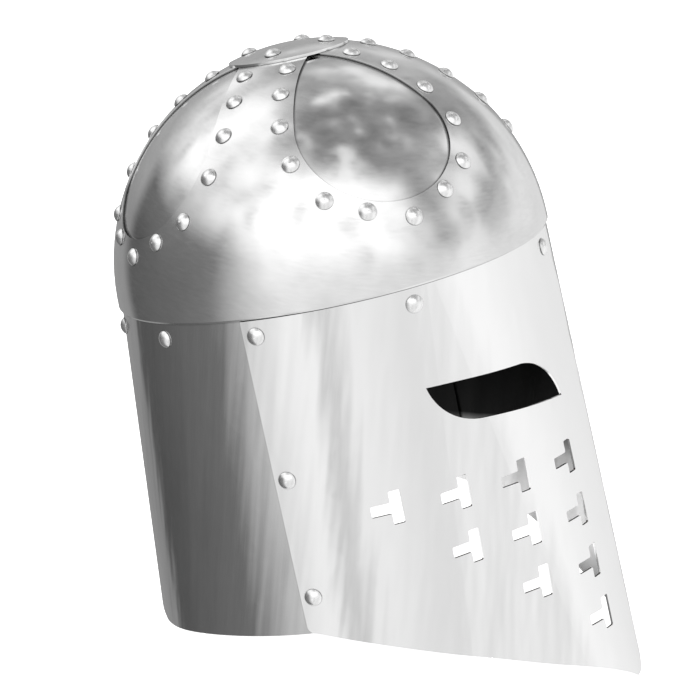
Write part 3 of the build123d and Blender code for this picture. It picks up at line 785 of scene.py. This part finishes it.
# keeper: a leather loop
bm = bmesh.new()
STRAP_DEPTH = 2.85             # from the heel bar to the middle of the strap
KEEPER_FAR, KEEPER_LONG = -68, 8
low, high = -STRAP_DEPTH - THICK / 2 - 0.3, -STRAP_DEPTH + 1.5 * THICK + 0.7
middle, tall = (low + high) / 2, (high - low) / 2
rings = []
for k in range(13):
    x = KEEPER_FAR + KEEPER_LONG * k / 12
    soft = 0.3 * (1 - abs(2 * k / 12 - 1) ** 6)
    outer, inner = [], []
    for kind, grow in ((outer, 1.5 + soft), (inner, 0.02)):
        w, h = HALF + 0.3 + grow, tall + grow
        corners = ((-w, -h), (w, -h), (w, h), (-w, h))
        for y, z in rounded(corners, 2.2 if kind is outer else 0.9, 4):
            kind.append(fold_point(x, y, middle + z))
    rings.append((outer, inner))
outer_rows = [[bm.verts.new(p) for p in o] for o, i in rings]
inner_rows = [[bm.verts.new(p) for p in i] for o, i in rings]
for rows in (outer_rows, inner_rows):
    for a, b in zip(rows, rows[1:]):
        for k in range(len(a)):
            j = (k + 1) % len(a)
            bm.faces.new((a[k], a[j], b[j], b[k]))
for a, b in ((outer_rows[0], inner_rows[0]), (outer_rows[-1], inner_rows[-1])):
    for k in range(len(a)):
        j = (k + 1) % len(a)
        bm.faces.new((a[k], a[j], b[j], b[k]))
piece("leather_keeper", bm, STRAP, "keeper", "strap_leather", "strap_keeper")

# ---- floor and studio light ---------------------------
def paper(name):
    m, tree, shader = new_material(name)
    tooth = grain(tree, stretched(tree, (1, 1, 1)), 300.0, 2.0)
    link(tree, ramp(tree, tooth, ((0.3, 0.9), (0.7, 0.94))), shader.inputs["Base Color"])
    shader.inputs["Roughness"].default_value = 0.95
    shader.inputs["Specular IOR Level"].default_value = 0.0
    shader.inputs["Emission Color"].default_value = (1, 1, 1, 1)
    shader.inputs["Emission Strength"].default_value = 1.0
    return m


# the floor, and the lit round of it that the helmet stands over
for name, corners, reach, behind, drop in (
    ("floor", 4, 12.0, 0.0, 0.0006), ("floor_under", 48, 0.085, 0.01, 0.0003)
):
    turns = [k * tau / corners for k in range(corners)]
    ring = [(reach * cos(t), reach * sin(t) + behind, 0) for t in turns]
    data = bpy.data.meshes.new(name)
    data.from_pydata(ring, [], [tuple(range(corners))])
    ground = bpy.data.objects.new(name, data)
    ground.location.z = -drop
    scene.collection.objects.link(ground)
    data.materials.append(paper(name + "_paper"))
    ground.visible_glossy = name == "floor_under"

world = bpy.data.worlds.new("studio")
scene.world = world
world.use_nodes = True
tree = world.node_tree
tree.nodes.clear()
coords = node(tree, "ShaderNodeTexCoord")
split = node(tree, "ShaderNodeSeparateXYZ")
link(tree, coords.outputs["Generated"], split.inputs[0])
# angle round the room: 0 at the wearer's right, growing towards the back
flip = node(tree, "ShaderNodeMath", operation="MULTIPLY")
link(tree, split.outputs["X"], flip.inputs[0])
flip.inputs[1].default_value = -1.0
angle = node(tree, "ShaderNodeMath", operation="ARCTAN2")
link(tree, split.outputs["Y"], angle.inputs[0])
link(tree, flip.outputs[0], angle.inputs[1])
share = spread(tree, angle.outputs[0], 0.0, 1.0, -pi, pi)


def walls(*stops):
    return ramp(tree, share, [((a + 180) / 360, v) for a, v in stops])


def mixed(factor, a, b):
    n = node(tree, "ShaderNodeMix", data_type="RGBA")
    link(tree, factor, n.inputs["Factor"])
    link(tree, a, n.inputs[6])
    link(tree, b, n.inputs[7])
    return n.outputs[2]


# a pale room, brightest ahead and at the right, with a dark screen along the far left;
# LOW is at the floor, MID at the horizon, WINDOW shares the sky between cloud and sun
LOW = walls((-180, 0.75), (-90, 0.95), (-65, 0.7), (-30, 0.85), (-15, 0.55), (-5, 0.9), (20, 0.65),
            (45, 0.2), (110, 0.1), (120, 0.3))
MID = walls((-180, 0.7), (-90, 0.95), (-60, 0.75), (-5, 0.9), (15, 0.9), (45, 0.2), (110, 0.15), (120, 0.4))
puffs = grain(tree, coords.outputs["Generated"], 3.2, 3.0, 0.55)
WINDOW = walls((-180, 0.0), (-80, 0.25), (-30, 1.0), (20, 1.0), (60, 0.35), (100, 0.9), (145, 0.2))
CLOUDS = ramp(tree, puffs, ((0.34, 0.2), (0.5, 0.42), (0.62, 0.95)))
SUN = ramp(tree, puffs, ((0.3, 0.75), (0.5, 1.3)))
SKY = mixed(WINDOW, CLOUDS, SUN)
ZENITH = ramp(tree, puffs, ((0.4, 0.19), (0.54, 0.34), (0.64, 1.0)))
above = split.outputs["Z"]
room_light = mixed(spread(tree, above, 0.0, 1.0, -0.15, 0.0), LOW, MID)
room_light = mixed(spread(tree, above, 0.0, 1.0, 0.1, 0.42), room_light, SKY)
room_light = mixed(spread(tree, above, 0.0, 1.0, 0.8, 0.95), room_light, ZENITH)
room = node(tree, "ShaderNodeBackground")
room.inputs["Strength"].default_value = 1.08
link(tree, room_light, room.inputs["Color"])
# the camera itself sees plain white paper behind the helmet
white = node(tree, "ShaderNodeBackground")
white.inputs["Color"].default_value = (1, 1, 1, 1)
white.inputs["Strength"].default_value = 1.3
path = node(tree, "ShaderNodeLightPath")
chooser = node(tree, "ShaderNodeMixShader")
link(tree, path.outputs["Is Camera Ray"], chooser.inputs[0])
link(tree, room.outputs[0], chooser.inputs[1])
link(tree, white.outputs[0], chooser.inputs[2])
out = node(tree, "ShaderNodeOutputWorld")
link(tree, chooser.outputs[0], out.inputs["Surface"])


def soft_light(name, where, aim_at, size, power):
    lamp = bpy.data.objects.new(name, bpy.data.lights.new(name, "AREA"))
    lamp.data.shape = "DISK"
    lamp.data.size = size
    lamp.data.energy = power
    lamp.location = where
    lamp.rotation_mode = "QUATERNION"
    lamp.rotation_quaternion = (Vector(where) - Vector(aim_at)).to_track_quat("Z", "Y")
    lamp.visible_glossy = False
    scene.collection.objects.link(lamp)
    return lamp


middle_of = (cad_box[0] + cad_box[1]) / 2
soft_light("key", (-2.2, -0.2, 1.1), middle_of, 1.5, 16)
soft_light("fill", (1.0, -2.2, 1.4), middle_of, 1.6, 10)
scene.view_settings.view_transform = "Standard"
